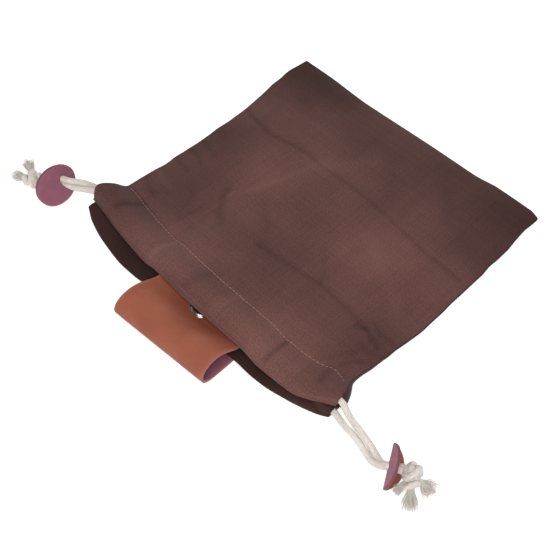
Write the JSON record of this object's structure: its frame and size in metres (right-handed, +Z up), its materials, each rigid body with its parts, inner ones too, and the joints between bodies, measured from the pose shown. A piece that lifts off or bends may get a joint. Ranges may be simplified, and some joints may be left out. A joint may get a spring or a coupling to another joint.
{
  "type": "drawstring foraging bag",
  "caption": "Flat canvas drawstring pouch with cords through its hems, leather cord stoppers, and a leather strap folded round the mouth as a belt loop with a snap",
  "frame": {"origin": "On the surface that the bag lies on, at the middle of the back panel's flat underside, halfway between the line of the mouth's corners and the bottom seam", "axes": "X runs along the mouth, Y from the mouth to the bottom seam, and Z up off the surface, from the back panel to the front panel"},
  "size_m": [0.3901, 0.3005, 0.0339],
  "materials": {
    "canvas": "dark brown cotton canvas, matte, worn",
    "leather": "smooth tan leather, slight sheen",
    "nickel": "polished nickel plate",
    "cotton_cord": "off-white cotton cord, matte",
    "suede": "maroon suede side of the leather, matte"
  },
  "bodies": {
    "root": {"front_panel": "canvas", "back_panel": "canvas", "leather_belt_loop": "leather", "snap_fastener": "nickel", "cord_front": "cotton_cord", "cord_back": "cotton_cord", "stopper_left": "suede", "stopper_right": "suede", "knot_left": "cotton_cord", "knot_right": "cotton_cord"}
  },
  "joints": []
}
